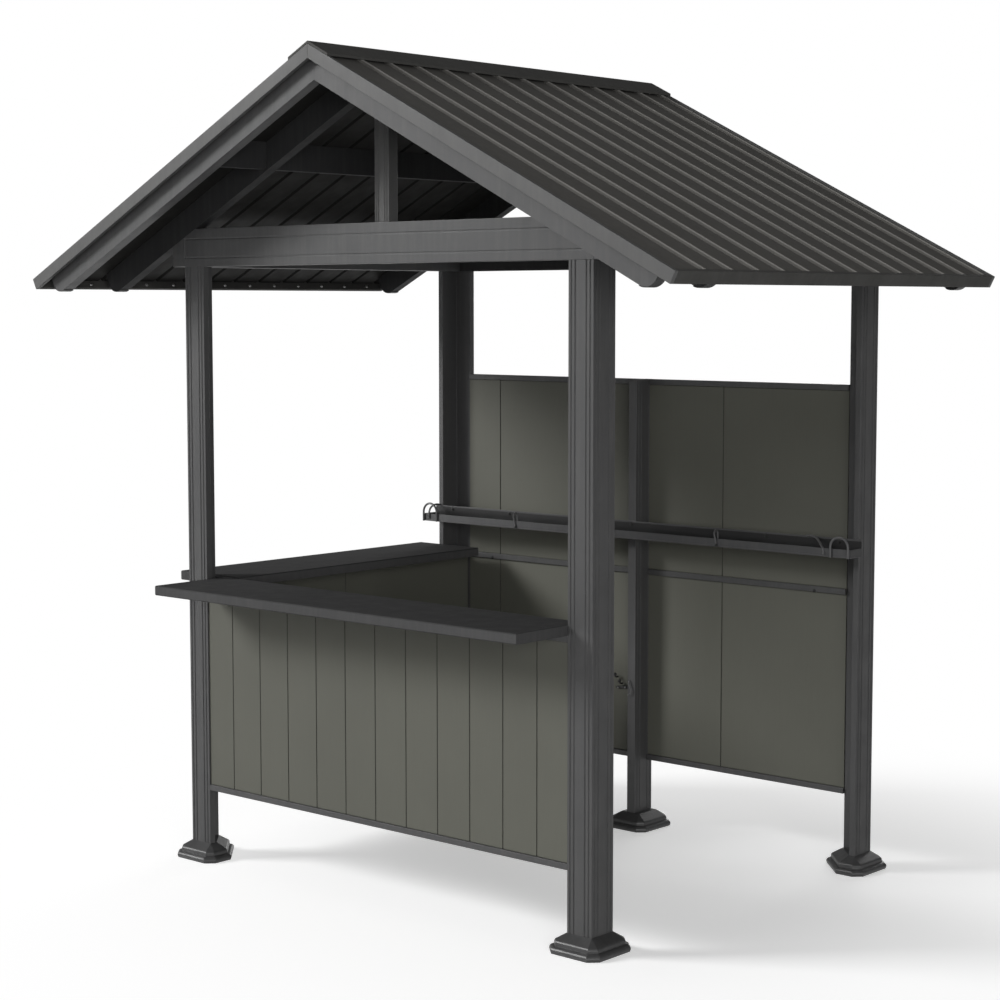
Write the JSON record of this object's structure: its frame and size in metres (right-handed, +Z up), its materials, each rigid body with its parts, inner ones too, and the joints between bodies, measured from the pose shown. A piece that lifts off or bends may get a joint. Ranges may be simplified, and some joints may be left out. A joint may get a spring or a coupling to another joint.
{
  "type": "lean-to grill gazebo",
  "caption": "Open grill shelter with a ribbed gable roof on corner posts, a bar counter in front and at the left side, a boarded back wall and a tool tray.",
  "frame": {"origin": "centre of the whole footprint, roof included, at ground level", "axes": "+X to the right along the front bar, +Y from the front gable to the back wall, +Z up"},
  "size_m": [2.83, 1.779, 2.7567],
  "materials": {
    "frame": "fine matt powder coat, dark grey",
    "foot_cover": "fine matt powder coat, dark grey",
    "roof_sheet": "matt coated ribbed sheet, charcoal",
    "roof_trim": "satin coated folded sheet, grey",
    "counter": "satin powder coat, dark grey",
    "boards": "matt coated boards, olive grey",
    "tray": "satin powder coat, dark grey"
  },
  "bodies": {
    "root": {"post_front_left": "frame", "post_front_right": "frame", "post_back_left": "frame", "post_back_right": "frame", "mid_post": "frame", "foot_front_left": "foot_cover", "foot_front_right": "foot_cover", "foot_back_left": "foot_cover", "foot_back_right": "foot_cover", "foot_mid": "foot_cover", "front_tie_beam": "frame", "back_tie_beam": "frame", "eave_beam_left": "frame", "eave_beam_right": "frame", "king_post_front": "frame", "king_post_back": "frame", "rafter_front_left": "frame", "rafter_front_right": "frame", "rafter_back_left": "frame", "rafter_back_right": "frame", "fly_rafter_left": "frame", "fly_rafter_right": "frame", "ridge_beam": "frame", "purlins_left": "frame", "purlins_right": "frame", "roof_sheet_left": "roof_sheet", "roof_sheet_right": "roof_sheet", "ridge_cap": "roof_trim", "front_trim_left": "roof_trim", "front_trim_right": "roof_trim", "back_trim_left": "roof_trim", "back_trim_right": "roof_trim", "eave_trim_left": "roof_trim", "eave_trim_right": "roof_trim", "counter_front": "counter", "bar_panel_front": "boards", "counter_side": "counter", "bar_panel_side": "boards", "bar_rails": "frame", "wall_panel_left": "boards", "wall_panel_right": "boards", "wall_rails": "frame", "tray_floor": "tray", "tray_sides": "tray", "tray_loops": "tray"}
  },
  "joints": []
}
